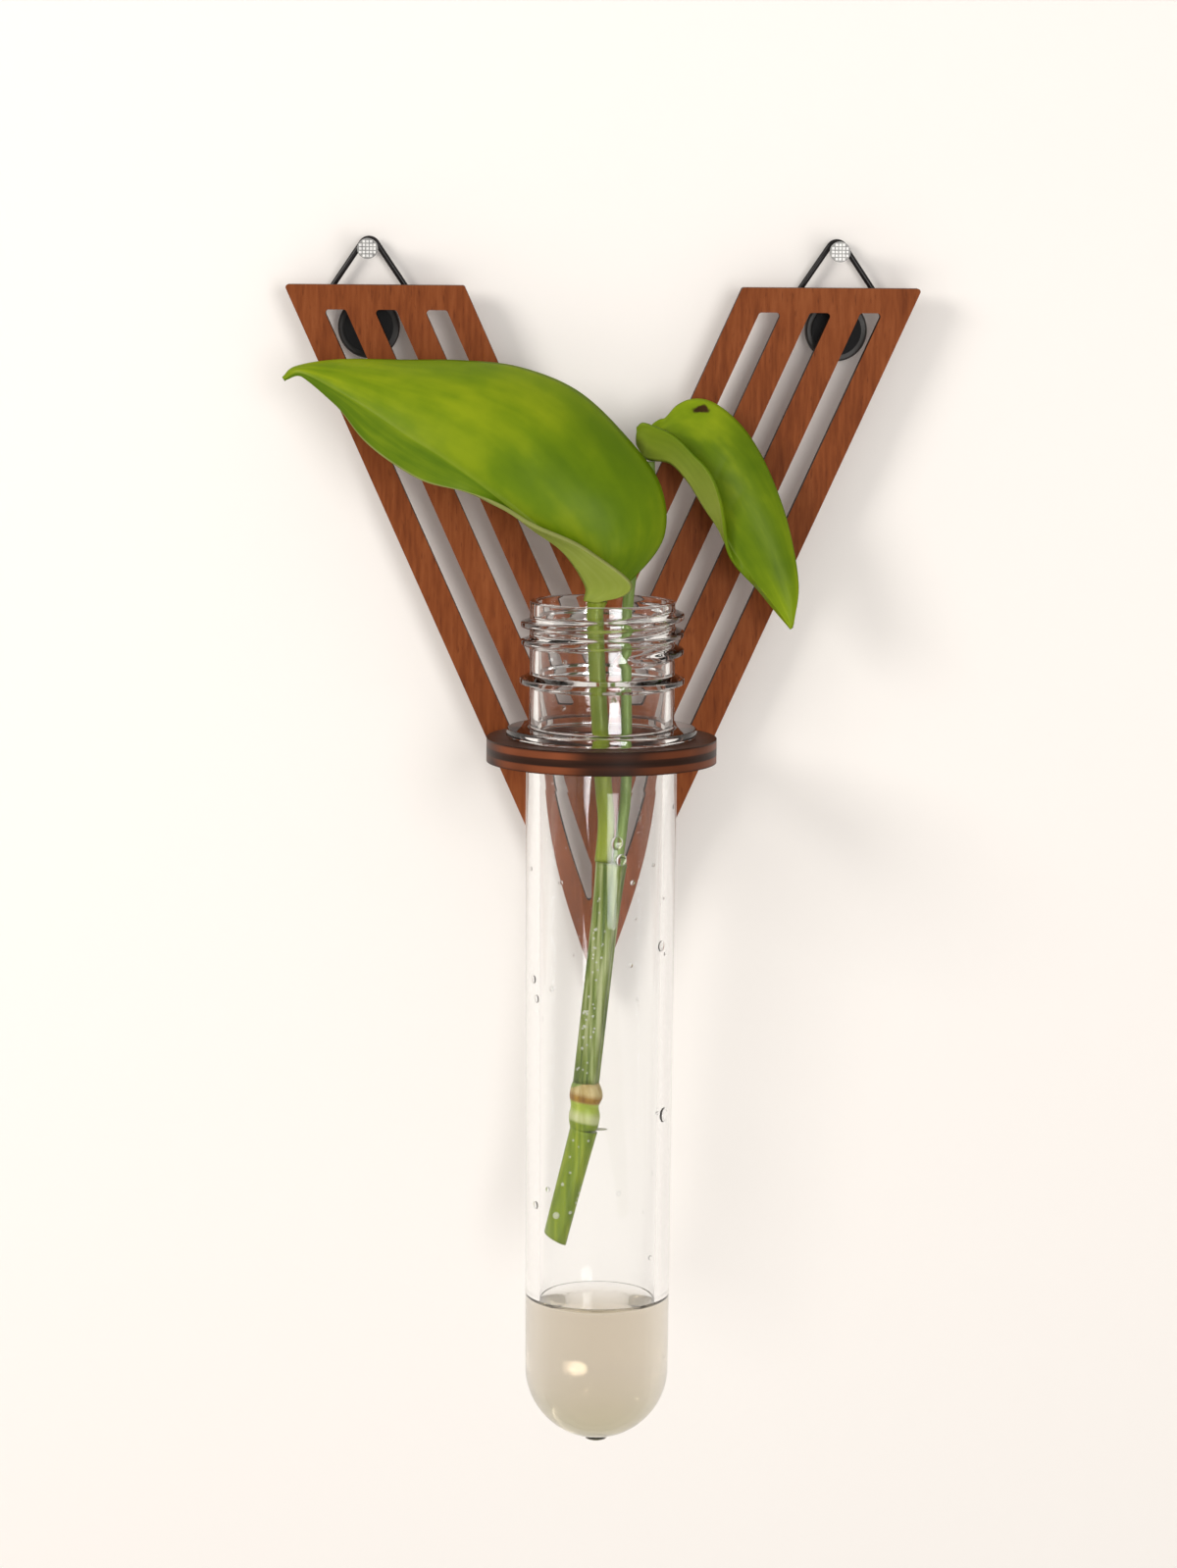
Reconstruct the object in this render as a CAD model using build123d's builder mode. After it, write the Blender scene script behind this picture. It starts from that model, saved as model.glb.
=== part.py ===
from build123d import *
import math
import os

os.makedirs("parts", exist_ok=True)

# Wall-hung propagation vase: a slotted plywood V on two wire hangers, a ring shelf and a clear tube.
# Origin: on the wall's surface, midway between the nails' axes. +X right, +Z up, the front faces -Y.
# Depths are counted from the wall towards the front. Drops are counted down from the nails' axes.

# Plywood plate
plate_width = 108.5
plate_height = 121.0
plate_thickness = 3.0
plate_drop = 6.2
plate_corner = 0.5
arm_width = 30.6
top_bar = 4.2
slot_width = 3.75
slot_count = 3
slot_corner = 0.6
centre_web = 3.0
shelf_bar = 3.4

# Ring shelf
ring_diameter = 38.8
ring_thickness = 4.0
ring_height_share = 0.62
tenon_share = 0.68
tenon_clearance = 0.1

# Clear tube
tube_reach = 17.0
tube_clearance = 0.3
seat_clearance = 0.1
neck_height = 23.0
neck_diameter = 24.4
neck_bore = 21.7
rim_round = 0.5
bead_diameter = 27.7
bead_height = 2.2
bead_land = 0.9
bead_drop = 13.4
ledge_diameter = 32.2
ledge_thickness = 1.6
ledge_round = 0.5
body_length = 121.3
body_top_diameter = 25.6
body_foot_diameter = 24.5
body_wall = 2.4
bore_step = 8.0
gate_diameter = 3.7
gate_length = 0.7
water_depth = 21.5

# Hangers: foam pad, pivot disc and wire bail
wall_gap = 0.5
disc_diameter = 10.6
disc_thickness = 2.8
disc_round = 0.4
pad_diameter = 8.4
pad_thickness = 1.0
wire_diameter = 1.0
bail_half_angle = 34.0
disc_drop = 13.5
trunnion_rise_share = 0.77
trunnion_depth = 2.2
trunnion_clearance = 0.06
bore_relief = 0.3

# Nails
nail_diameter = 1.8
nail_length = 25.0
nail_standoff = 10.5
nail_point = 3.0
nail_neck_diameter = 1.9
nail_head_diameter = 3.5
nail_head_thickness = 0.9
hang_clearance = 0.1

# Leafy cutting
stem_diameter = 4.3
scar_diameter = 5.6
upper_stem_diameter = 5.2
large_petiole_diameter = 2.5
small_petiole_diameter = 1.9
petiole_gap = 0.2
petiole_root = 5.0
large_leaf_length = 64.7
large_leaf_height = 36.8
large_leaf_depth = 15.5
large_leaf_thickness = 0.7
small_leaf_length = 27.2
small_leaf_height = 38.4
small_leaf_depth = 7.2
small_leaf_thickness = 0.6

# The cutting's route: sideways and depth shares of the foot's bore radius, drop share of the tube's length
cut_end_shares = (-0.74, 0.0, 0.757)
scar_foot_shares = (-0.25, 0.0, 0.625)
scar_head_shares = (-0.225, 0.0, 0.568)
fork_shares = (0.18, 0.0, 0.305)
large_petiole_shares = [(0.02, -0.06, 0.2), (-0.12, -0.06, 0.04), (-0.12, -0.06, 0.0)]
small_petiole_shares = [
    (0.44, 0.15, 0.2),
    (0.43, 0.45, 0.02),
    (0.62, 0.78, -0.07),
    (0.8, 1.0, -0.125),
    (0.8, 1.0, -0.1575),
]
bend_share = 0.45

# Rings of the leaf scar: share of its height, share of its diameter
scar_ring_shares = [(0.25, 1.0), (0.5, 0.88), (0.75, 0.98)]

# Leaf sections from the tip to the stalk: keel, far margin and near margin, each as shares of the
# leaf's length to the right, of its height upwards and of its depth to the rear
large_arch_share = 0.13
small_arch_share = 0.1
tip_skin_share = 0.5
large_leaf_shares = [
    ((0.002, 0.906, 0.675), (-0.002, 0.915, 0.705), (0.004, 0.898, 0.676)),
    ((0.051, 0.936, 0.568), (0.035, 0.968, 0.671), (0.057, 0.911, 0.574)),
    ((0.144, 0.863, 0.4), (0.149, 1.0, 0.684), (0.142, 0.788, 0.475)),
    ((0.235, 0.772, 0.245), (0.313, 1.0, 0.671), (0.211, 0.643, 0.328)),
    ((0.326, 0.671, 0.09), (0.465, 1.0, 0.632), (0.292, 0.535, 0.176)),
    ((0.419, 0.575, -0.039), (0.616, 0.973, 0.594), (0.379, 0.457, 0.026)),
    ((0.51, 0.466, -0.123), (0.768, 0.868, 0.529), (0.484, 0.419, -0.133)),
    ((0.583, 0.365, -0.155), (0.894, 0.667, 0.426), (0.576, 0.366, -0.263)),
    ((0.657, 0.265, -0.142), (0.985, 0.447, 0.31), (0.665, 0.278, -0.312)),
    ((0.74, 0.151, -0.084), (0.995, 0.205, 0.219), (0.797, 0.196, -0.294)),
    ((0.797, 0.0, -0.026), (0.904, 0.0, 0.142), (0.911, 0.01, -0.335)),
    ((0.797, -0.078, -0.026), (0.827, -0.078, 0.061), (0.827, -0.078, -0.094)),
]
small_leaf_shares = [
    ((0.972, 0.0, -0.694), (0.991, 0.018, -0.66), (0.969, -0.004, -0.65)),
    ((0.866, 0.1, -0.625), (1.02, 0.201, -0.5), (0.856, 0.087, -0.414)),
    ((0.766, 0.185, -0.556), (0.95, 0.464, -0.306), (0.759, 0.169, -0.26)),
    ((0.67, 0.278, -0.5), (0.833, 0.688, -0.111), (0.655, 0.25, -0.52)),
    ((0.587, 0.363, -0.444), (0.71, 0.842, 0.03), (0.585, 0.355, -0.594)),
    ((0.52, 0.448, -0.389), (0.576, 0.943, 0.09), (0.538, 0.548, -0.83)),
    ((0.437, 0.533, -0.333), (0.453, 0.995, 0.13), (0.467, 0.684, -0.93)),
    ((0.33, 0.652, -0.264), (0.342, 1.0, 0.16), (0.365, 0.765, -0.694)),
    ((0.219, 0.73, -0.194), (0.252, 0.971, 0.16), (0.236, 0.85, -0.66)),
    ((0.085, 0.745, -0.111), (0.185, 0.92, 0.12), (0.1, 0.905, -0.572)),
    ((0.022, 0.804, 0.0), (0.107, 0.893, 0.05), (-0.005, 0.9, -0.389)),
]
large_seat_shares = (0.818, -0.078, 0.0)
small_seat_shares = (0.085, 0.726, -0.111)

# One overrun serves every cut
overrun = 1.0

# Depths from the wall
disc_front = wall_gap + disc_thickness
plate_back = disc_front + pad_thickness
plate_front = plate_back + plate_thickness
tube_depth = plate_front + tube_reach
wire_depth = wall_gap + disc_thickness / 2

# Plate lines: the outer margin runs straight from the top corner to the tip
half_width = plate_width / 2
plate_top = -plate_drop
plate_tip = plate_top - plate_height
slat_width = (arm_width - slot_count * slot_width) / (slot_count + 1)


def margin_x(height):
    return half_width * (height - plate_tip) / plate_height


def margin_height(x):
    return plate_tip + plate_height * x / half_width


# The hangers are centred on the second slat, and the nails above them
hanger_x = margin_x(-disc_drop) - slat_width - slot_width - slat_width / 2
sides = [("left", -1), ("right", 1)]

# Heights of the shelf and the tube
ring_top = plate_top - ring_height_share * plate_height
ring_foot = ring_top - ring_thickness
mouth_height = ring_top + seat_clearance + neck_height
tube_length = neck_height + body_length
body_top_radius = body_top_diameter / 2
foot_radius = body_foot_diameter / 2
foot_bore_radius = foot_radius - body_wall
foot_centre = foot_radius - tube_length

# The tenon takes a share of the land between the two outer slots
tenon_width = 2 * tenon_share * (margin_x(ring_foot) - slat_width - slot_width)

# Plate: V outline, slots along both arms, mortise for the shelf
slot_top = plate_top - top_bar
slot_stop = ring_top + shelf_bar
web_half = centre_web / 2
plate_plane = Plane.XZ.offset(plate_back)


def slot_strip(index, foot):
    outer = slat_width + index * (slat_width + slot_width)
    inner = outer + slot_width
    Polygon(
        (margin_x(slot_top) - outer, slot_top),
        (margin_x(slot_top) - inner, slot_top),
        (margin_x(foot) - inner, foot),
        (margin_x(foot) - outer, foot),
        align=None,
    )


with BuildPart() as back_plate:
    with BuildSketch(plate_plane) as outline:
        with BuildLine():
            Polyline(
                (0, plate_tip),
                (half_width, plate_top),
                (half_width - arm_width, plate_top),
                (0, margin_height(arm_width)),
                (arm_width - half_width, plate_top),
                (-half_width, plate_top),
                close=True,
            )
        make_face()
        fillet(outline.vertices(), radius=plate_corner)
    extrude(amount=plate_thickness)
    with BuildSketch(plate_plane) as long_slots:
        slot_strip(0, plate_tip)
        with Locations((web_half - half_width, 0)):
            Rectangle(plate_width, plate_height * 2 + plate_drop, mode=Mode.SUBTRACT)
        fillet(long_slots.vertices(), radius=slot_corner)
        mirror(about=Plane.YZ)
    extrude(amount=plate_thickness, mode=Mode.SUBTRACT)
    with BuildSketch(plate_plane) as short_slots:
        for index in range(1, slot_count):
            slot_strip(index, slot_stop)
        with Locations((web_half - half_width, 0)):
            Rectangle(plate_width, plate_height * 2 + plate_drop, mode=Mode.SUBTRACT)
        fillet(short_slots.vertices(), radius=slot_corner)
        mirror(about=Plane.YZ)
    extrude(amount=plate_thickness, mode=Mode.SUBTRACT)
    with BuildSketch(plate_plane):
        with Locations((0, ring_top - ring_thickness / 2)):
            Rectangle(tenon_width + 2 * tenon_clearance, ring_thickness + 2 * tenon_clearance)
    extrude(amount=plate_thickness, mode=Mode.SUBTRACT)
back_plate.part.label = "back_plate"
export_step(back_plate.part, "parts/back_plate.step")

# Ring shelf: round disc, flat where it meets the plate, with a tenon through the mortise
with BuildPart() as ring_shelf:
    with BuildSketch(Plane.XY.offset(ring_foot)):
        with Locations((0, -tube_depth)):
            Circle(ring_diameter / 2)
        with Locations((0, ring_diameter / 2 - plate_front)):
            Rectangle(ring_diameter, ring_diameter, mode=Mode.SUBTRACT)
        with Locations((0, -(plate_back + tube_depth) / 2)):
            Rectangle(tenon_width, tube_depth - plate_back)
        with Locations((0, -tube_depth)):
            Circle(body_top_radius + tube_clearance, mode=Mode.SUBTRACT)
    extrude(amount=ring_thickness)
ring_shelf.part.label = "ring_shelf"
export_step(ring_shelf.part, "parts/ring_shelf.step")

# Tube: neck finish with bead and support ledge, drafted body, domed foot with a moulding gate
tube_plane = Plane(origin=(0, -tube_depth, mouth_height), x_dir=(1, 0, 0), z_dir=(0, -1, 0))
tube_axis = Axis((0, -tube_depth, 0), (0, 0, 1))
neck_radius = neck_diameter / 2
bore_radius = neck_bore / 2
bead_radius = bead_diameter / 2
ledge_radius = ledge_diameter / 2
gate_radius = gate_diameter / 2
body_draft = (body_top_radius - foot_radius) / (-neck_height - foot_centre)
step_height = -neck_height - bore_step
step_radius = body_top_radius - body_draft * bore_step - body_wall
dome_share = math.sqrt(1 / 2)
gate_top = foot_centre - math.sqrt(foot_radius**2 - gate_radius**2)

with BuildPart() as test_tube:
    with BuildSketch(tube_plane):
        with BuildLine():
            Polyline(
                (0, -tube_length - gate_length),
                (0, body_wall - tube_length),
            )
            ThreePointArc(
                (0, body_wall - tube_length),
                (foot_bore_radius * dome_share, foot_centre - foot_bore_radius * dome_share),
                (foot_bore_radius, foot_centre),
            )
            Polyline(
                (foot_bore_radius, foot_centre),
                (step_radius, step_height),
                (bore_radius, -neck_height),
                (bore_radius, 0),
                (neck_radius, 0),
                (neck_radius, bead_height / 2 - bead_drop),
                (bead_radius, bead_land / 2 - bead_drop),
                (bead_radius, -bead_land / 2 - bead_drop),
                (neck_radius, -bead_height / 2 - bead_drop),
                (neck_radius, ledge_thickness - neck_height),
                (ledge_radius, ledge_thickness - neck_height),
                (ledge_radius, -neck_height),
                (body_top_radius, -neck_height),
                (foot_radius, foot_centre),
            )
            ThreePointArc(
                (foot_radius, foot_centre),
                (foot_radius * dome_share, foot_centre - foot_radius * dome_share),
                (gate_radius, gate_top),
            )
            Polyline(
                (gate_radius, gate_top),
                (gate_radius, -tube_length - gate_length),
                (0, -tube_length - gate_length),
            )
        make_face()
    revolve(axis=tube_axis)
    round_edges = test_tube.edges().filter_by(GeomType.CIRCLE)
    fillet(round_edges.sort_by(SortBy.RADIUS)[-2:], radius=ledge_round)
    fillet(round_edges.group_by(Axis.Z)[-1], radius=rim_round)
test_tube.part.label = "test_tube"
export_step(test_tube.part, "parts/test_tube.step")

# Water: fills the domed foot of the bore
water_top = body_wall - tube_length + water_depth
bore_draft = (step_radius - foot_bore_radius) / (step_height - foot_centre)
water_radius = foot_bore_radius + bore_draft * (water_top - foot_centre)

with BuildPart() as water:
    with BuildSketch(tube_plane):
        with BuildLine():
            ThreePointArc(
                (0, body_wall - tube_length),
                (foot_bore_radius * dome_share, foot_centre - foot_bore_radius * dome_share),
                (foot_bore_radius, foot_centre),
            )
            Polyline(
                (foot_bore_radius, foot_centre),
                (water_radius, water_top),
                (0, water_top),
                (0, body_wall - tube_length),
            )
        make_face()
    revolve(axis=tube_axis)
water.part.label = "water"
export_step(water.part, "parts/water.step")

# Hangers and nails, one set on each arm
bend_radius = nail_diameter / 2 + hang_clearance + wire_diameter / 2
bail_crown = bend_radius / math.sin(math.radians(bail_half_angle))
trunnion_drop = disc_drop - trunnion_rise_share * disc_diameter / 2
trunnion_end = disc_diameter / 2 * math.sqrt(1 - trunnion_rise_share**2) - trunnion_depth
bail_foot = (bail_crown + trunnion_drop) * math.tan(math.radians(bail_half_angle))
trunnion_bore = wire_diameter / 2 + trunnion_clearance
nail_foot = nail_length - nail_standoff

for side, sign in sides:
    arm_x = sign * hanger_x
    with BuildPart() as pad:
        with BuildSketch(Plane((arm_x, -disc_front, -disc_drop), (1, 0, 0), (0, -1, 0))):
            Circle(pad_diameter / 2)
        extrude(amount=pad_thickness)
    pad.part.label = f"{side}_adhesive_pad"
    export_step(pad.part, f"parts/{side}_adhesive_pad.step")

    with BuildPart() as disc:
        with BuildSketch(Plane((arm_x, -wall_gap, -disc_drop), (1, 0, 0), (0, -1, 0))):
            Circle(disc_diameter / 2)
        extrude(amount=disc_thickness)
        fillet(disc.edges().filter_by(GeomType.CIRCLE), radius=disc_round)
        for way in (-1, 1):
            mouth_x = arm_x + way * (disc_diameter / 2 + overrun)
            with BuildSketch(Plane((mouth_x, -wire_depth, -trunnion_drop), (0, 1, 0), (-way, 0, 0))):
                Circle(trunnion_bore)
            extrude(amount=mouth_x * way - arm_x * way - trunnion_end + bore_relief, mode=Mode.SUBTRACT)
    disc.part.label = f"{side}_hanger_disc"
    export_step(disc.part, f"parts/{side}_hanger_disc.step")

    with BuildPart() as bail:
        with BuildLine(Plane((arm_x, -wire_depth, 0), (1, 0, 0), (0, -1, 0))) as run:
            FilletPolyline(
                (-trunnion_end, -trunnion_drop),
                (-bail_foot, -trunnion_drop),
                (0, bail_crown),
                (bail_foot, -trunnion_drop),
                (trunnion_end, -trunnion_drop),
                radius=bend_radius,
            )
        with BuildSketch(Plane(origin=run.line @ 0, z_dir=run.line % 0)):
            Circle(wire_diameter / 2)
        sweep()
    bail.part.label = f"{side}_wire_bail"
    export_step(bail.part, f"parts/{side}_wire_bail.step")

    with BuildPart() as nail:
        with BuildSketch(Plane((arm_x, 0, 0))):
            with BuildLine():
                Polyline(
                    (0, -nail_standoff),
                    (nail_head_diameter / 2, -nail_standoff),
                    (nail_head_diameter / 2, nail_head_thickness - nail_standoff),
                    (nail_neck_diameter / 2, nail_head_thickness - nail_standoff),
                    (nail_diameter / 2, 0),
                    (nail_diameter / 2, nail_foot - nail_point),
                    (0, nail_foot),
                    close=True,
                )
            make_face()
        revolve(axis=Axis((arm_x, 0, 0), (0, 1, 0)))
    nail.part.label = f"{side}_nail"
    export_step(nail.part, f"parts/{side}_nail.step")


# Cutting: every point of the stem is a share of the bore and of the tube's length
def in_tube(shares):
    sideways, deep, drop = shares
    return Vector(
        foot_bore_radius * sideways,
        foot_bore_radius * deep - tube_depth,
        mouth_height - tube_length * drop,
    )


def bend_radii(points):
    radii = []
    for before, here, after in zip(points, points[1:], points[2:]):
        arriving = here - before
        leaving = after - here
        half_turn = math.radians(arriving.get_angle(leaving)) / 2
        radii.append(bend_share * min(arriving.length, leaving.length) / math.tan(half_turn))
    return radii


cut_end = in_tube(cut_end_shares)
scar_foot = in_tube(scar_foot_shares)
scar_head = in_tube(scar_head_shares)
fork = in_tube(fork_shares)
stem_run = scar_foot - cut_end
scar_run = scar_head - scar_foot
upper_run = fork - scar_head

with BuildPart() as lower_stem:
    with BuildSketch(Plane(origin=cut_end, z_dir=stem_run)):
        Circle(stem_diameter / 2)
    extrude(amount=stem_run.length)
lower_stem.part.label = "lower_stem"
export_step(lower_stem.part, "parts/lower_stem.step")

with BuildPart() as leaf_scar:
    with BuildSketch(Plane(origin=scar_foot, z_dir=stem_run)):
        Circle(stem_diameter / 2)
    for height_share, width_share in scar_ring_shares:
        with BuildSketch(Plane(origin=scar_foot + scar_run * height_share, z_dir=scar_run)):
            Circle(scar_diameter / 2 * width_share)
    with BuildSketch(Plane(origin=scar_head, z_dir=upper_run)):
        Circle(stem_diameter / 2)
    loft()
leaf_scar.part.label = "leaf_scar"
export_step(leaf_scar.part, "parts/leaf_scar.step")

with BuildPart() as upper_stem:
    with BuildSketch(Plane(origin=scar_head, z_dir=upper_run)):
        Circle(stem_diameter / 2)
    with BuildSketch(Plane(origin=fork, z_dir=upper_run)):
        Circle(upper_stem_diameter / 2)
    loft()
upper_stem.part.label = "upper_stem"
export_step(upper_stem.part, "parts/upper_stem.step")

# Petioles: both stand on the stem's flat top and end flat under their leaves
fork_plane = Plane(origin=fork, x_dir=(1, 0, 0), z_dir=upper_run)
petiole_ends = {}
petioles = [
    ("large", -1, large_petiole_diameter, large_petiole_shares),
    ("small", 1, small_petiole_diameter, small_petiole_shares),
]
for size, sign, diameter, route_shares in petioles:
    root = fork_plane.from_local_coords(Vector(sign * (petiole_gap + diameter) / 2, 0, 0))
    points = [root, root + upper_run.normalized() * petiole_root]
    points += [in_tube(shares) for shares in route_shares]
    petiole_ends[size] = points[-1]
    with BuildPart() as petiole:
        with BuildLine() as run:
            FilletPolyline(*points, radius=bend_radii(points))
        with BuildSketch(Plane(origin=run.line @ 0, z_dir=run.line % 0)):
            Circle(diameter / 2)
        sweep()
    petiole.part.label = f"{size}_petiole"
    export_step(petiole.part, f"parts/{size}_petiole.step")


# Leaves: thin folded blades, lofted through sections that cross the keel
def leaf_blade(seat, size, thickness, arch_share, seat_shares, sections):
    last = len(sections) - 1

    def place(shares):
        offsets = [share - start for share, start in zip(shares, seat_shares)]
        right, up, rear = [offset * length for offset, length in zip(offsets, size)]
        return seat + Vector(right, rear, up)

    with BuildPart() as blade:
        for index, (keel_shares, far_shares, near_shares) in enumerate(sections):
            keel = place(keel_shares)
            out = place(far_shares) - keel
            ahead = place(sections[min(index + 1, last)][0]) - place(sections[max(index - 1, 0)][0])
            front = ahead.cross(out)
            if front.Y > 0:
                front = -front
            section = Plane(origin=keel, x_dir=out, z_dir=out.cross(front))
            margin = section.to_local_coords(place(near_shares))
            skin = thickness * tip_skin_share if index == 0 else thickness
            far = Vector(out.length, 0)
            near = Vector(margin.X, margin.Y)
            far_under = Vector(0, -skin)
            near_under = Vector(-near.Y, near.X).normalized() * skin
            keel_under = (far_under + near_under).normalized() * skin
            far_middle = far / 2 + Vector(0, arch_share * out.length)
            with BuildSketch(section):
                with BuildLine():
                    Line(near, Vector(0, 0))
                    Spline(Vector(0, 0), far_middle, far)
                    Line(far, far + far_under)
                    Spline(far + far_under, far_middle + far_under, keel_under)
                    Line(keel_under, near + near_under)
                    Line(near + near_under, near)
                make_face()
        loft()
    return blade.part


large_leaf = leaf_blade(
    petiole_ends["large"],
    (large_leaf_length, large_leaf_height, large_leaf_depth),
    large_leaf_thickness,
    large_arch_share,
    large_seat_shares,
    large_leaf_shares,
)
large_leaf.label = "large_leaf"
export_step(large_leaf, "parts/large_leaf.step")

small_leaf = leaf_blade(
    petiole_ends["small"],
    (small_leaf_length, small_leaf_height, small_leaf_depth),
    small_leaf_thickness,
    small_arch_share,
    small_seat_shares,
    small_leaf_shares,
)
small_leaf.label = "small_leaf"
export_step(small_leaf, "parts/small_leaf.step")
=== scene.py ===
import math
import random

import bmesh
import bpy
from mathutils import Matrix, Vector


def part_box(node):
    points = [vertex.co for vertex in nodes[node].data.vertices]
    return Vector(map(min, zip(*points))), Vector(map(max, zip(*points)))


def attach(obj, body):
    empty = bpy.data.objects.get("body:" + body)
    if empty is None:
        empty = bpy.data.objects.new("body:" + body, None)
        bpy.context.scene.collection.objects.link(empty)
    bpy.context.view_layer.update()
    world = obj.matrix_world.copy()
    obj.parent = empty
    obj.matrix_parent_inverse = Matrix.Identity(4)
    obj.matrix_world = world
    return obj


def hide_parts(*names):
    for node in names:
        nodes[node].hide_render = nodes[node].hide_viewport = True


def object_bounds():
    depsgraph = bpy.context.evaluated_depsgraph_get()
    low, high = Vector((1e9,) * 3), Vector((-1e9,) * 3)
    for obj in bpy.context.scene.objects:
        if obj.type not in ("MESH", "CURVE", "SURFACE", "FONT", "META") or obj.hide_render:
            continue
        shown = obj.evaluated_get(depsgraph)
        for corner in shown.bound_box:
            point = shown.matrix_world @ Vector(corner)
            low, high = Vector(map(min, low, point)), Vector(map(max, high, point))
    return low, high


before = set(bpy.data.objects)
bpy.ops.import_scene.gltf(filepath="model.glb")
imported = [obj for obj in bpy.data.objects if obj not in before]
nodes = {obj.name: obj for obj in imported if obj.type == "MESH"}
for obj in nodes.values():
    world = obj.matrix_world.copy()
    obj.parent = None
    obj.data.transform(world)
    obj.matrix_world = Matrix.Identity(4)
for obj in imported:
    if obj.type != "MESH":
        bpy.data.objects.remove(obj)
cad_low, cad_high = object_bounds()

# Lengths below are in millimetres, and mm turns them into the scene's metres
mm = 0.001

# Tube: heights are counted from the mouth, downwards negative
neck_radius = 12.2
bore_radius = 10.85
rim_round = 0.5
thread_height = 1.5
thread_crest = 0.7
thread_base = 2.3
thread_pitch = 3.0
thread_start = -8.42
thread_turns = 2.0
thread_fade_turns = 0.24
thread_zone = 11.4
thread_step = 0.2
bead_radius = 13.85
bead_centre = -13.4
bead_base = 2.2
bead_land = 0.9
bead_round = 0.3
ledge_radius = 16.1
ledge_top = -21.4
ledge_foot = -23.0
ledge_round = 0.5
body_radius = 12.8
foot_radius = 12.25
wall = 2.4
bore_step = -31.0
gate_radius = 1.85
gate_length = 0.7
gate_land_share = 0.6
tube_sides = 160
round_steps = 5
dome_steps = 26

# Water
water_overlap = 0.06
meniscus_rise = 1.1
meniscus_reach = 0.75
meniscus_steps = 14
meniscus_span = 3.0

# Cutting: places are shares of the foot's bore radius, sideways and to the rear of the tube's axis,
# and of the tube's length below its mouth
cut_end_shares = (-0.74, 0.0, 0.757)
scar_foot_shares = (-0.25, 0.0, 0.625)
scar_head_shares = (-0.225, 0.0, 0.568)
fork_shares = (0.18, 0.0, 0.305)
large_route_shares = [
    (0.04294, 0.0, 0.30402),
    (0.09137, -0.0203, 0.25558),
    (0.02, -0.06, 0.2),
    (-0.12, -0.06, 0.04),
    (-0.12, -0.06, 0.0),
]
small_route_shares = [
    (0.2861, 0.0, 0.30575),
    (0.36548, 0.03046, 0.26251),
    (0.44, 0.15, 0.2),
    (0.43, 0.45, 0.02),
    (0.62, 0.78, -0.07),
    (0.8, 1.0, -0.125),
    (0.8, 1.0, -0.1575),
]
stem_radius = 2.15
stem_sides = 48
stem_steps = 40
cut_slope_share = 0.32
cut_slope_power = 8
lower_swell_share = 0.1
scar_swell = 0.6
scar_waist_share = 0.6
scar_bump = 0.5
scar_bump_angle = 0.6
scar_bump_power = 3
fork_radius = 2.6
fork_flare_power = 6
rib_count = 7
rib_height = 0.3
large_petiole_radius = 1.25
small_petiole_radius = 0.95
wing_share = 1.14
groove_share = 0.25
groove_power = 4
flare_start_share = 0.89
funnel_wide = 0.3
funnel_deep = 0.2
funnel_shift = 0.3

# Nails
chequer_count = 5
chequer_pitch = 0.6
chequer_rise = 0.2
chequer_sink = 0.05
chequer_base_share = 0.88
chequer_top_share = 0.6

# Stage and camera
floor_drop = 55.0
stage_size = 6000.0
camera_place = (-14.0, -784.3, 18.4)
camera_pitch_angle = 8.056
camera_yaw_angle = 0.894
camera_roll_angle = 0.45
camera_lens = 104.42

# Leaf blades: sections from the tip to the stalk, each a keel, a far margin and a near margin; every
# point is a share of the leaf's length to the right, of its height upwards and of its depth to the rear
large_leaf_size = (64.7, 36.8, 15.5)
small_leaf_size = (27.2, 38.4, 7.2)
leaf_rows = 110
leaf_columns = 26
large_leaf_thickness = 0.7
small_leaf_thickness = 0.6
large_arch_share = 0.13
small_arch_share = 0.1
large_leaf_shares = [
    ((0.002, 0.906, 0.675), (-0.002, 0.915, 0.705), (0.004, 0.898, 0.676)),
    ((0.051, 0.936, 0.568), (0.035, 0.968, 0.671), (0.057, 0.911, 0.574)),
    ((0.144, 0.863, 0.4), (0.149, 1.0, 0.684), (0.142, 0.788, 0.475)),
    ((0.235, 0.772, 0.245), (0.313, 1.0, 0.671), (0.211, 0.643, 0.328)),
    ((0.326, 0.671, 0.09), (0.465, 1.0, 0.632), (0.292, 0.535, 0.176)),
    ((0.419, 0.575, -0.039), (0.616, 0.973, 0.594), (0.379, 0.457, 0.026)),
    ((0.51, 0.466, -0.123), (0.768, 0.868, 0.529), (0.484, 0.419, -0.133)),
    ((0.583, 0.365, -0.155), (0.894, 0.667, 0.426), (0.576, 0.366, -0.263)),
    ((0.657, 0.265, -0.142), (0.985, 0.447, 0.31), (0.665, 0.278, -0.312)),
    ((0.74, 0.151, -0.084), (0.995, 0.205, 0.219), (0.797, 0.196, -0.294)),
    ((0.797, 0.0, -0.026), (0.904, 0.0, 0.142), (0.911, 0.01, -0.335)),
    ((0.797, -0.078, -0.026), (0.827, -0.078, 0.061), (0.827, -0.078, -0.094)),
]
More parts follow.
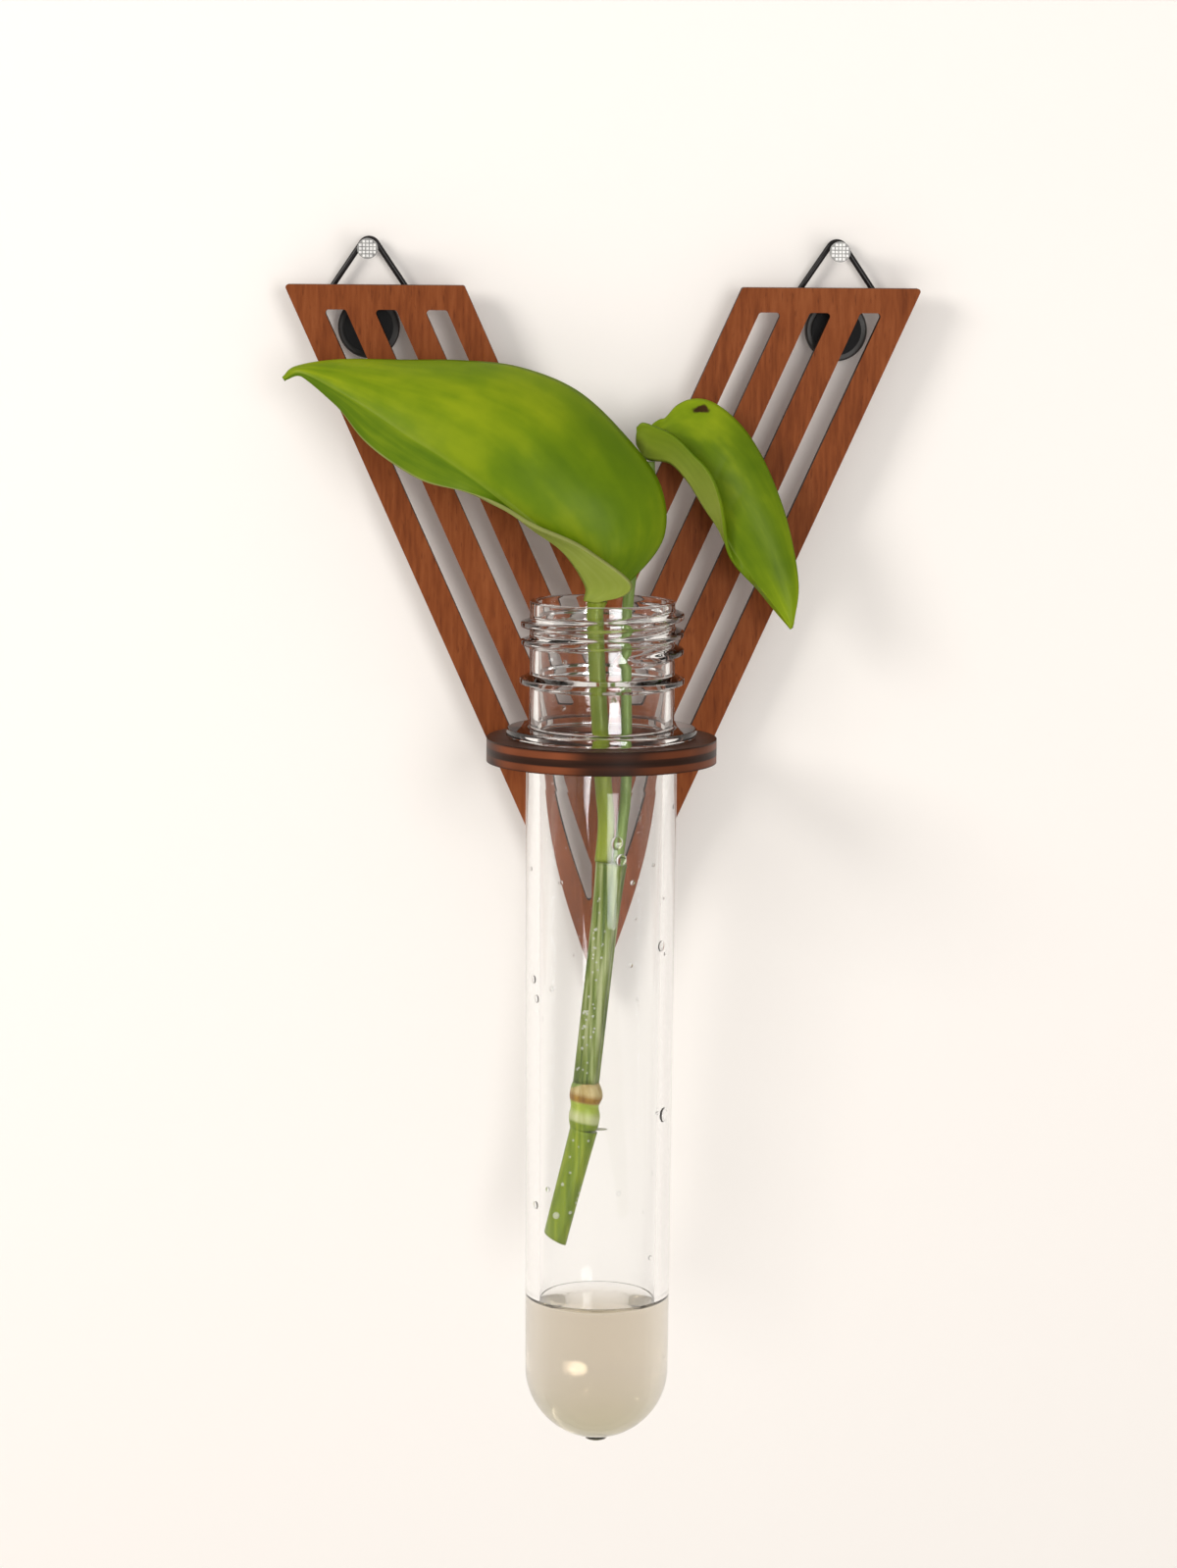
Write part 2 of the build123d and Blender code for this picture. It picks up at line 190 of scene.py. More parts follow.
small_leaf_shares = [
    ((0.972, 0.0, -0.694), (0.991, 0.018, -0.66), (0.969, -0.004, -0.65)),
    ((0.866, 0.1, -0.625), (1.02, 0.201, -0.5), (0.856, 0.087, -0.414)),
    ((0.766, 0.185, -0.556), (0.95, 0.464, -0.306), (0.759, 0.169, -0.26)),
    ((0.67, 0.278, -0.5), (0.833, 0.688, -0.111), (0.655, 0.25, -0.52)),
    ((0.587, 0.363, -0.444), (0.71, 0.842, 0.03), (0.585, 0.355, -0.594)),
    ((0.52, 0.448, -0.389), (0.576, 0.943, 0.09), (0.538, 0.548, -0.83)),
    ((0.437, 0.533, -0.333), (0.453, 0.995, 0.13), (0.467, 0.684, -0.93)),
    ((0.33, 0.652, -0.264), (0.342, 1.0, 0.16), (0.365, 0.765, -0.694)),
    ((0.219, 0.73, -0.194), (0.252, 0.971, 0.16), (0.236, 0.85, -0.66)),
    ((0.085, 0.745, -0.111), (0.185, 0.92, 0.12), (0.095, 0.893, -0.572)),
    ((0.05, 0.765, -0.06), (0.145, 0.91, 0.09), (0.035, 0.902, -0.48)),
    ((0.022, 0.804, 0.0), (0.107, 0.893, 0.05), (0.0, 0.88, -0.389)),
]
large_seat_shares = (0.818, -0.078, 0.0)
small_seat_shares = (0.085, 0.726, -0.111)
vein_count = 9
vein_slant_share = 0.18
vein_depth = 0.06
vein_power = 6

# Drops on the tube's wall: turn from the front to the right in degrees, drop below the mouth, radius
placed_drops = [
    (13, 39.4, 1.0),
    (17, 42.3, 0.9),
    (62, 57.7, 0.8),
    (70, 87.0, 1.1),
    (-72, 63.8, 0.6),
    (-67, 67.0, 0.6),
    (-68, 102.7, 0.6),
    (-36, 2.2, 0.35),
    (-37, 5.6, 0.4),
    (-34, 9.4, 0.4),
    (-36, 13.0, 0.45),
    (-35, 17.0, 0.4),
    (20, 13.2, 0.5),
    (9, 15.5, 0.5),
]
drop_seed = 7
drop_count = 46
drop_angles = (-180, 180)
drop_zone = (3.0, 112.0)
drop_sizes = (0.15, 0.4)
drop_long_share = 1.15
drop_flat_share = 0.65
drop_rows = 8
drop_sides = 14

# Drops on the stems: share of the way up the stem, turn from the front to the right in degrees, radius
stem_drops = [
    (0.22, -20, 0.62),
    (0.27, 40, 0.34),
    (0.36, 62, 0.3),
    (0.4, 65, 0.28),
    (0.45, 66, 0.26),
    (0.5, 68, 0.3),
    (0.5, -30, 0.34),
    (0.62, -10, 0.24),
    (0.9, -35, 0.34),
    (0.86, -5, 0.28),
    (0.93, 30, 0.36),
]
bead_seed = 3
bead_count = 60
bead_reach = (0.04, 0.96)
bead_angles = (-55, 10)
bead_sizes = (0.14, 0.3)

# First root
root_long = 1.9
root_thin = 0.24

# Colours, as linear light; stops pair a place from 0 to 1 with a colour, and a reach says where one
# colour covers another
hidden = (0, 0, 0)
shown = (1, 1, 1)
wood_light = (0.27, 0.08, 0.025)
wood_mid = (0.21, 0.055, 0.015)
wood_dark = (0.13, 0.03, 0.008)
wood_pore = (0.1, 0.025, 0.008)
wood_stops = [(0.3, wood_dark), (0.5, wood_mid), (0.7, wood_light)]
pore_reach = [(0.6, hidden), (0.78, shown)]
pore_stops = [(0.2, wood_pore), (0.8, wood_dark)]
char = (0.018, 0.009, 0.006)
ply_light = (0.25, 0.07, 0.027)
ply_dark = (0.05, 0.018, 0.01)
plate_ply_stops = [(0.0, ply_dark), (0.3, char), (0.7, char), (1.0, ply_dark)]
plate_edge_reach = [(0.3, shown), (0.6, hidden)]
ring_top_dark = (0.045, 0.02, 0.013)
ring_top_light = (0.095, 0.042, 0.026)
ring_top_stops = [(0.3, ring_top_dark), (0.7, ring_top_light)]
ring_flat_reach = [(0.4, hidden), (0.7, shown)]
ring_ply_stops = [
    (0.0, char),
    (0.08, ply_light),
    (0.3, ply_light),
    (0.36, char),
    (0.62, ply_dark),
    (0.68, ply_light),
    (0.9, ply_light),
    (0.97, char),
]
ring_soot_stops = [(0.0, char), (0.3, ply_dark), (0.5, char), (0.8, ply_dark), (1.0, char)]
soot_reach = [(0.42, hidden), (0.6, shown)]
pet_colour = (0.98, 0.985, 0.985)
# Water tint: greener towards the foot; the clear white band at the top is a painted highlight on the
# meniscus
water_tint_and_painted_shine_stops = [
    (0.0, (0.7, 0.68, 0.5)),
    (0.35, (0.94, 0.93, 0.9)),
    (0.94, (0.97, 0.96, 0.94)),
    (0.965, (1.0, 1.0, 1.0)),
]
murk_colour = (0.5, 0.36, 0.12)
# Painted glint: the white share of the stem beads makes them show as bright dots
bead_painted_glint_colour = (0.9, 0.9, 0.86)
foam_colour = (0.012, 0.012, 0.013)
disc_colour = (0.03, 0.026, 0.024)
wire_colour = (0.014, 0.012, 0.012)
speck_low_share = 0.2
speck_high_share = 0.8
speck_dim_share = 0.7
zinc_stops = [(0.3, (0.7, 0.7, 0.7)), (0.7, (0.9, 0.9, 0.89))]
# Painted shade: the nail's head and shank take a darker copy of the zinc, so the grooves between the
# studs and the head's rim read as dark lines
nail_shank_and_groove_shade_stops = [(0.3, (0.2, 0.2, 0.2)), (0.7, (0.34, 0.34, 0.33))]

# Large leaf
leaf_stops = [(0.36, (0.12, 0.22, 0.004)), (0.5, (0.17, 0.28, 0.005)), (0.64, (0.28, 0.38, 0.008))]
# Painted light: the upper part of the large blade is lighter, as if lit from above
painted_top_light_reach = [(0.55, hidden), (0.95, shown)]
painted_top_light_stops = [(0.36, (0.17, 0.28, 0.006)), (0.5, (0.25, 0.36, 0.008)), (0.62, (0.37, 0.46, 0.012))]
# Painted shade: the near half of the large blade, below its keel, is darker
near_shade_reach = [(0.44, shown), (0.54, hidden)]
near_shade_stops = [(0.36, (0.09, 0.18, 0.004)), (0.5, (0.13, 0.23, 0.005)), (0.62, (0.2, 0.3, 0.008))]
rib_reach = [(0.485, hidden), (0.5, (0.25, 0.25, 0.25)), (0.515, hidden)]
rib_stops = [(0.36, (0.24, 0.34, 0.03)), (0.62, (0.34, 0.43, 0.06))]
margin_reach = [(0.0, (0.9, 0.9, 0.9)), (0.018, (0.7, 0.7, 0.7)), (0.035, hidden)]
margin_stops = [(0.36, (0.3, 0.33, 0.09)), (0.62, (0.4, 0.42, 0.14))]

# Bands on the leaves: axis, map, where the band shows, its colours
leaf_bands = [
    ("Z", "Generated", painted_top_light_reach, painted_top_light_stops),
    ("Y", "UV", near_shade_reach, near_shade_stops),
    ("Y", "UV", rib_reach, rib_stops),
    ("Y", "UV", margin_reach, margin_stops),
]

# Small leaf and undersides
young_reach = [(0.0, shown), (0.3, hidden), (0.8, hidden), (1.0, shown)]
bright_stops = [(0.36, (0.22, 0.32, 0.006)), (0.5, (0.3, 0.42, 0.01)), (0.62, (0.4, 0.5, 0.015))]
young_bands = [("Z", "Generated", young_reach, bright_stops), ("Y", "UV", rib_reach, rib_stops)]
young_stops = [(0.36, (0.11, 0.2, 0.004)), (0.5, (0.17, 0.27, 0.006)), (0.62, (0.28, 0.38, 0.01))]
under_stops = [(0.3, (0.25, 0.33, 0.045)), (0.5, (0.32, 0.39, 0.06)), (0.7, (0.4, 0.47, 0.1))]
young_under_stops = [(0.3, (0.17, 0.26, 0.01)), (0.5, (0.22, 0.315, 0.015)), (0.7, (0.3, 0.39, 0.03))]
fold_reach = [(0.55, shown), (0.88, hidden)]
young_under_bands = [("Z", "Generated", fold_reach, under_stops)]
spot_shares = (0.591, 0.9)
spot_dark = (0.03, 0.014, 0.005)
spot_light = (0.1, 0.05, 0.012)
spot_stops = [(0.3, spot_dark), (0.7, spot_light)]
spot_reach = [(0.08, shown), (0.1, hidden)]
spot_rough_share = 0.09

# Stems
cane_stops = [(0.3, (0.11, 0.17, 0.003)), (0.5, (0.17, 0.24, 0.004)), (0.7, (0.26, 0.32, 0.012))]
scar_stops = [(0.3, (0.36, 0.26, 0.08)), (0.5, (0.46, 0.36, 0.15)), (0.7, (0.54, 0.45, 0.23))]
node_reach = [(0.64, shown), (0.69, hidden)]
node_stops = [(0.3, (0.26, 0.34, 0.03)), (0.5, (0.33, 0.42, 0.04)), (0.7, (0.42, 0.48, 0.08))]
pale_reach = [(0.38, shown), (0.52, hidden)]
pale_stops = [(0.3, (0.4, 0.44, 0.16)), (0.5, (0.46, 0.5, 0.22)), (0.7, (0.54, 0.57, 0.3))]
cane_reach = [(0.22, shown), (0.28, hidden)]
seam_reach = [(0.63, hidden), (0.68, shown), (0.76, shown), (0.86, hidden)]
seam_stops = [(0.3, (0.18, 0.08, 0.008)), (0.7, (0.36, 0.2, 0.02))]
sheath_reach = [(0.85, hidden), (0.89, shown)]
sheath_stops = [(0.3, (0.14, 0.2, 0.03)), (0.5, (0.22, 0.3, 0.06)), (0.7, (0.34, 0.4, 0.16))]

# Bands on the stems: lean to the right, where the band shows, its colours
scar_bands = [
    (0.12, node_reach, node_stops),
    (0.15, pale_reach, pale_stops),
    (0.15, cane_reach, cane_stops),
    (0.12, seam_reach, seam_stops),
    (-0.3, sheath_reach, sheath_stops),
]
grey_cane_stops = [(0.35, (0.06, 0.1, 0.01)), (0.5, (0.15, 0.2, 0.03)), (0.65, (0.33, 0.37, 0.17))]
light_stalk_stops = [(0.3, (0.15, 0.2, 0.008)), (0.5, (0.2, 0.25, 0.015)), (0.7, (0.27, 0.32, 0.04))]
# Painted shade: the large stalk is darker green where it runs up through the tube's neck, and a little
# at its top end
neck_shade_reach = [(0.4, hidden), (0.55, shown), (0.85, shown), (1.0, (0.3, 0.3, 0.3))]
neck_shade_stops = [(0.3, (0.09, 0.13, 0.008)), (0.5, (0.12, 0.16, 0.015)), (0.7, (0.17, 0.21, 0.03))]
stalk_shade_bands = [(0, neck_shade_reach, neck_shade_stops)]
dull_stalk_stops = [(0.3, (0.12, 0.19, 0.04)), (0.5, (0.17, 0.25, 0.06)), (0.7, (0.23, 0.31, 0.09))]
root_stops = [(0.3, (0.3, 0.3, 0.2)), (0.5, (0.42, 0.42, 0.32)), (0.7, (0.55, 0.55, 0.45))]

# Stage
floor_colour = (0.82, 0.8, 0.78)
wall_colour = (0.86, 0.83, 0.8)
wall_glow = 0.08

# Noise: waves per metre along X, Y and Z, or per blade in leaf_streak_noise, and the octaves of detail
fibre_noise = ((1500, 500, 170), 6)
broad_noise = ((90, 60, 28), 3)
pore_noise = ((2200, 700, 330), 2)
ring_fibre_noise = ((160, 900, 900), 5)
ring_patch_noise = ((45, 45, 20), 2)
speck_noise = ((900, 900, 900), 3)
cloud_noise = ((700, 700, 700), 3)
leaf_patch_noise = ((70, 70, 70), 4)
leaf_streak_noise = ((5, 9, 1), 3)
leaf_bump_noise = ((500, 500, 500), 3)
spot_noise = ((500, 500, 500), 3)
stem_streak_noise = ((1200, 1200, 60), 3)
broad_share = 0.45
streak_share = 0.45
streak_slant_share = 0.25

# Bumps: strength and depth
wood_bump = (0.35, 0.12)
ring_bump = (0.3, 0.1)
leaf_bump = (0.15, 0.2)

# Optics
wood_roughness = 0.5
ring_roughness = 0.38
foam_roughness = 0.9
disc_roughness = 0.4
wire_roughness = 0.25
zinc_roughness = 0.4
leaf_roughness = 0.38
stem_roughness = 0.35
stage_roughness = 0.9
zinc_metal_share = 0.2
plain_gloss = 0.5
wood_gloss = 0.08
wire_gloss = 0.25
leaf_gloss = 0.14
leaf_glow_share = 0.3
pet_bend = 1.575
pet_shine = (0.45, 0.45, 0.45)
murk_density = 37.0
water_bend = 1.333
drop_bend = 1.18
# The rest of each stem bead is the painted white glint
bead_clear_share = 0.65

# Lamps
light_aim = (0.0, -20.0, -100.0)
key_place = (-640.0, -560.0, 260.0)
key_size = (360.0, 360.0)
key_power = 3.9
key_colour = (1.0, 0.96, 0.91)
fill_place = (330.0, -950.0, 40.0)
fill_size = (360.0, 640.0)
fill_power = 3.5
fill_colour = (1.0, 0.98, 0.96)
strip_place = (330.0, -950.0, -60.0)
strip_size = (380.0, 560.0)
strip_power = 14.0
strip_colour = (0.97, 0.98, 1.0)
world_colour = (1.0, 0.97, 0.94)
world_strength = 0.45

# Values from the frame
tube_low, tube_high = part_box("test_tube")
tube_axis = (tube_low + tube_high) / 2
mouth = tube_high.z / mm
tube_length = (tube_high.z - tube_low.z) / mm - gate_length
foot_centre = foot_radius - tube_length
foot_bore_radius = foot_radius - wall
floor_height = cad_low.z / mm - floor_drop
stage_half = stage_size / 2
square_corners = ((-1, -1), (1, -1), (1, 1), (-1, 1))


def in_tube(shares):
    sideways, rear, drop = shares
    return Vector(
        (
            foot_bore_radius * sideways,
            foot_bore_radius * rear + tube_axis.y / mm,
            mouth - tube_length * drop,
        )
    )


cut_end = in_tube(cut_end_shares)
scar_foot = in_tube(scar_foot_shares)
scar_head = in_tube(scar_head_shares)
fork = in_tube(fork_shares)
large_route = [in_tube(shares) for shares in large_route_shares]
small_route = [in_tube(shares) for shares in small_route_shares]


# Mesh helpers
def new_piece(name, points, faces, body, replaced=(), flat_ends=False):
    mesh = bpy.data.meshes.new(name)
    mesh.from_pydata([Vector(p) * mm for p in points], [], faces)
    build = bmesh.new()
    build.from_mesh(mesh)
    bmesh.ops.recalc_face_normals(build, faces=build.faces)
    build.to_mesh(mesh)
    build.free()
    mesh.polygons.foreach_set("use_smooth", [not flat_ends or len(face) > 3 for face in faces])
    piece = bpy.data.objects.new(name, mesh)
    bpy.context.scene.collection.objects.link(piece)
    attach(piece, body)
    if replaced:
        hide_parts(*replaced)
    return piece


def ring_faces(rings, sides):
    """Quads between rings of points that follow each other."""
    faces = []
    for row in range(rings - 1):
        for side in range(sides):
            after = (side + 1) % sides
            faces.append(
                (
                    row * sides + side,
                    row * sides + after,
                    (row + 1) * sides + after,
                    (row + 1) * sides + side,
                )
            )
    return faces


def shifted(faces, start):
    """The faces of one form among several, whose first point has the number start."""
    return [tuple(start + corner for corner in face) for face in faces]


def capped(points, faces, rings, sides, first, last):
    """Closes both ends of a stack of rings with a fan around a middle point."""
    start = len(points)
    points += [first, last]
    end_row = (rings - 1) * sides
    for side in range(sides):
        after = (side + 1) % sides
        faces.append((start, after, side))
        faces.append((start + 1, end_row + side, end_row + after))
    return points, faces


def rounded(corners):
    """Profile points with the corner at each (radius, height, round) rounded off."""
    path = []
    count = len(corners)
    for index, (radius, height, bend) in enumerate(corners):
        here = Vector((radius, height))
        if bend == 0 or index in (0, count - 1):
            path.append(here)
            continue
        before = Vector(corners[index - 1][:2]) - here
        after = Vector(corners[index + 1][:2]) - here
        half = before.angle(after) / 2
        reach = min(bend / math.tan(half), before.length / 2, after.length / 2)
        start = here + before.normalized() * reach
        end = here + after.normalized() * reach
        for step in range(round_steps + 1):
            share = step / round_steps
            near = start.lerp(here, share)
            far = here.lerp(end, share)
            path.append(near.lerp(far, share))
    return path


def arc(radius, centre, start, end, steps):
    """Profile points of an arc, with angles counted from straight below its centre."""
    path = []
    for step in range(steps + 1):
        angle = start + (end - start) * step / steps
        path.append(Vector((radius * math.sin(angle), centre - radius * math.cos(angle))))
    return path


# Tube
def thread_at(angle, height):
    """How far the helical thread stands out of the neck there."""
    rise = 0
    for turn in range(-1, math.ceil(thread_turns) + 1):
        turns = turn + angle / math.tau
        off = abs(height - thread_start - thread_pitch * turns)
        slope = (thread_base / 2 - off) / (thread_base - thread_crest) * 2
        fade = min(turns + thread_fade_turns, thread_turns + thread_fade_turns - turns)
        share = min(max(slope, 0), 1) * min(max(fade / thread_fade_turns, 0), 1)
        rise = max(rise, share * share * (3 - 2 * share))
    return rise * thread_height


def tube_profile():
    """Radius and height from the foot, up the outside, over the rim and down the bore."""
    gate_angle = math.asin(gate_radius / foot_radius)
    quarter = math.pi / 2
    path = [
        Vector((gate_radius * gate_land_share, -tube_length - gate_length)),
        Vector((gate_radius, -tube_length - gate_length * gate_land_share)),
    ]
    path += arc(foot_radius, foot_centre, gate_angle, quarter, dome_steps)
    path += rounded(
        [
            (foot_radius, foot_centre, 0),
            (body_radius, ledge_foot, rim_round),
            (ledge_radius, ledge_foot, ledge_round),
            (ledge_radius, ledge_top, ledge_round),
            (neck_radius, ledge_top, rim_round),
            (neck_radius, bead_centre - bead_base / 2, bead_round),
            (bead_radius, bead_centre - bead_land / 2, bead_round),
            (bead_radius, bead_centre + bead_land / 2, bead_round),
            (neck_radius, bead_centre + bead_base / 2, bead_round),
            (neck_radius, -thread_zone, 0),
        ]
    )[1:]
    steps = round((thread_zone - rim_round) / thread_step)
    for step in range(1, steps):
        path.append(Vector((neck_radius, -thread_zone + (thread_zone - rim_round) * step / steps)))
    path += rounded(
        [
            (neck_radius, -rim_round, 0),
            (neck_radius, 0, rim_round),
            (bore_radius, 0, rim_round),
            (bore_radius, ledge_foot, rim_round),
            (body_radius - wall, bore_step, rim_round),
            (foot_bore_radius, foot_centre, 0),
        ]
    )
    path += arc(foot_bore_radius, foot_centre, quarter, 0, dome_steps)[1:-1]
    return path


def on_axis(radius, angle, height):
    """A point around the tube's axis, with its height counted from the mouth."""
    return Vector(
        (
            tube_axis.x / mm + radius * math.cos(angle),
            tube_axis.y / mm + radius * math.sin(angle),
            mouth + height,
        )
    )


def lathe(profile, low, high, threaded=False):
    """Turns a profile around the tube's axis and closes it at the low and high points."""
    points = []
    crossed_rim = False
    for radius, height in profile:
        crossed_rim = crossed_rim or height > -rim_round / 2
        for side in range(tube_sides):
            angle = math.tau * side / tube_sides
            out = radius
            if threaded and not crossed_rim and height >= -thread_zone:
                out += thread_at(angle, height)
            points.append(on_axis(out, angle, height))
    faces = ring_faces(len(profile), tube_sides)
    return capped(points, faces, len(profile), tube_sides, on_axis(0, 0, low), on_axis(0, 0, high))


def make_tube():
    points, faces = lathe(
        tube_profile(), -tube_length - gate_length, wall - tube_length, threaded=True
    )
    return new_piece("clear_tube", points, faces, "tube", ["test_tube"])


def make_water():
    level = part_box("water")[1].z / mm - mouth
    draft = (body_radius - wall - foot_bore_radius) / (bore_step - foot_centre)
    top_radius = foot_bore_radius + draft * (level - foot_centre) + water_overlap
    radius = foot_bore_radius + water_overlap
    profile = arc(radius, foot_centre, 0, math.pi / 2, dome_steps)[1:]
    profile.append(Vector((top_radius, level + meniscus_rise - water_overlap)))
    for step in range(meniscus_steps + 1):
        off = meniscus_span * step / meniscus_steps
        rise = meniscus_rise * math.exp(-off / meniscus_reach)
        profile.append(Vector((top_radius - off, level + rise)))
    points, faces = lathe(profile, wall - tube_length - water_overlap, level)
    return new_piece("still_water", points, faces, "tube", ["water"])


# Cutting
def smooth_path(points, steps):
    """Even steps along a Catmull-Rom curve through the points."""
    path = []
    last = len(points) - 1
    for step in range(steps + 1):
        place = last * step / steps
        index = min(int(place), last - 1)
        share = place - index
        here = points[index]
        after = points[index + 1]
        before = points[index - 1] if index else here * 2 - after
        beyond = points[index + 2] if index + 2 <= last else after * 2 - here
        path.append(
            (
                here * 2
                + (after - before) * share
                + (before * 2 - here * 5 + after * 4 - beyond) * share**2
                + (here * 3 - before - after * 3 + beyond) * share**3
            )
            / 2
        )
    return path


def square_to(ahead):
    """The direction to the right that is square to another one."""
    right = Vector((1, 0, 0))
    return (right - ahead * right.dot(ahead)).normalized()


def swept(path, section):
    """Rings along the path; section gives (across, deep, along) at a share of the way and an angle."""
    points = []
    count = len(path)
    for index, place in enumerate(path):
        ahead = path[min(index + 1, count - 1)] - path[max(index - 1, 0)]
        ahead.normalize()
        across = square_to(ahead)
        deep = ahead.cross(across)
        for side in range(stem_sides):
            angle = math.tau * side / stem_sides
            right, back, along = section(index / (count - 1), angle)
            points.append(place + across * right + deep * back + ahead * along)
    faces = ring_faces(count, stem_sides)
    first = sum(points[:stem_sides], Vector()) / stem_sides
    last = sum(points[-stem_sides:], Vector()) / stem_sides
    return capped(points, faces, count, stem_sides, first, last)


def stem_piece(name, route, section, slot, node):
    points, faces = swept(smooth_path(route, stem_steps), section)
    return new_piece(name, points, faces, "cutting", [node], flat_ends=True)


def lower_section(share, angle):
    radius = stem_radius * (1 + lower_swell_share * share**2)
    right = radius * math.cos(angle)
    return right, radius * math.sin(angle), -cut_slope_share * right * (1 - share) ** cut_slope_power


def scar_section(share, angle):
    waist = scar_waist_share * math.cos(math.tau * share) ** 2 if abs(share - 1 / 2) < 1 / 4 else 0
    swell = math.sqrt(math.sin(math.pi * min(max(share, 0), 1))) * (1 - waist)
    side = max(0, math.cos(angle + scar_bump_angle)) ** scar_bump_power
    bump = side * max(0, -math.sin(math.tau * share))
    radius = stem_radius + scar_swell * swell + scar_bump * bump
    return radius * math.cos(angle), radius * math.sin(angle), 0


def upper_section(share, angle):
    rib = rib_height * (abs(math.cos(rib_count / 2 * angle)) - 1 / 2)
    radius = stem_radius + (fork_radius - stem_radius) * share**fork_flare_power + rib
    return radius * math.cos(angle), radius * math.sin(angle), 0


def grooved(angle):
    """Share of the radius that the furrow along a stalk leaves there."""
    return 1 - groove_share * max(0, math.cos(angle - math.pi / 2)) ** groove_power


def large_petiole_section(share, angle):
    flare = max(0, share - flare_start_share) / (1 - flare_start_share)
    wide = large_petiole_radius * wing_share + funnel_wide * flare**2
    right = wide * math.cos(angle) * grooved(angle) + funnel_shift * flare**2
    deep = large_petiole_radius + funnel_deep * flare**2
    return right, deep * math.sin(angle) * grooved(angle), 0


def small_petiole_section(share, angle):
    radius = small_petiole_radius * grooved(angle)
    return radius * math.cos(angle), radius * math.sin(angle), 0


def make_stems():
    stems = [
        ("lower_cane", [cut_end, scar_foot], lower_section, "green_stem", "lower_stem"),
        ("scar_knot", [scar_foot, scar_head], scar_section, "scar_tan", "leaf_scar"),
        ("upper_cane", [scar_head, fork], upper_section, "green_stem", "upper_stem"),
        ("large_stalk", large_route, large_petiole_section, "green_stem", "large_petiole"),
        ("small_stalk", small_route, small_petiole_section, "green_stem", "small_petiole"),
    ]
    return {stem[0]: stem_piece(*stem) for stem in stems}


def leaf_rails(seat, size, seat_shares, sections):
    """Keel, far margin and near margin of a blade as smooth paths."""
    rails = []
    for stations in zip(*sections):
        places = []
        for shares in stations:
            offsets = [share - start for share, start in zip(shares, seat_shares)]
            right, up, rear = [offset * length for offset, length in zip(offsets, size)]
            places.append(seat + Vector((right, rear, up)))
        rails.append(smooth_path(places, leaf_rows))
    return rails


def vein(along, share):
    """Shallow furrows that leave the keel at a slant."""
    wave = math.cos(math.tau * vein_count * (along + vein_slant_share * share))
    return max(0, wave) ** vein_power * math.sin(math.pi * share)


def leaf_grid(seat, size, arch_share, seat_shares, sections, square):
    """Rows from the near margin over the keel to the far margin, as one folded sheet.

    A square fold keeps each row of the near half in one plane across the keel."""
    keel, far, near = leaf_rails(seat, size, seat_shares, sections)
    points = []
    for row in range(leaf_rows + 1):
        ahead = keel[min(row + 1, leaf_rows)] - keel[max(row - 1, 0)]
        out = far[row] - keel[row]
        front = ahead.cross(out).normalized()
        if front.y > 0:
            front.negate()
        level = out.cross(front).normalized()
        fold = near[row] - keel[row]
        if square:
            fold -= level * fold.dot(level)
        for column in range(-leaf_columns, leaf_columns + 1):
            share = abs(column) / leaf_columns
            if column < 0:
                points.append(keel[row] + fold * share)
                continue
            rise = 4 * arch_share * out.length * share * (1 - share)
            furrow = vein_depth * vein(row / leaf_rows, share)
            points.append(keel[row] + out * share + front * (rise - furrow))
    return points


def box_shares(points, along_share, across_share):
    """Where a point of the blade's far half lies in the box of the blade, for its material."""
    row = round(along_share * leaf_rows)
    spot = points[row * (2 * leaf_columns + 1) + leaf_columns + round(across_share * leaf_columns)]
    shares = []
    for axis in range(3):
        low = min(point[axis] for point in points)
        high = max(point[axis] for point in points)
        shares.append((spot[axis] - low) / (high - low))
    return shares


def face_front(piece):
    """Turns the sheet so that the blade's upper side is the outer side."""
    mesh = piece.data
    tilt = sum(polygon.normal.y * polygon.area for polygon in mesh.polygons)
    if tilt > 0:
        mesh.flip_normals()


def map_blade(mesh):
    """Lays the shares of the way along and across the blade on the mesh, for its material."""
    layer = mesh.uv_layers.new(name="blade")
    for loop in mesh.loops:
        row, column = divmod(loop.vertex_index, 2 * leaf_columns + 1)
        across = column / leaf_columns - 1
        along = row / leaf_rows + streak_slant_share * abs(across)
        layer.data[loop.index].uv = (along, (across + 1) / 2)


def leaf_piece(name, points, node, thickness):
    width = 2 * leaf_columns + 1
    faces = []
    for row in range(leaf_rows):
        for column in range(width - 1):
            first = row * width + column
            faces.append((first, first + 1, first + width + 1, first + width))
    piece = new_piece(name, points, faces, "cutting", [node])
    face_front(piece)
    map_blade(piece.data)
    thick = piece.modifiers.new("thickness", "SOLIDIFY")
    thick.thickness = thickness * mm
    thick.offset = -1
    thick.material_offset = 1
    return piece


def make_leaves():
    large = leaf_grid(
        large_route[-1], large_leaf_size, large_arch_share, large_seat_shares, large_leaf_shares, True
    )
    small = leaf_grid(
        small_route[-1], small_leaf_size, small_arch_share, small_seat_shares, small_leaf_shares, False
    )
    large_blade = leaf_piece("large_blade", large, "large_leaf", large_leaf_thickness)
    small_blade = leaf_piece("small_blade", small, "small_leaf", small_leaf_thickness)
    return large_blade, small_blade, box_shares(small, *spot_shares)


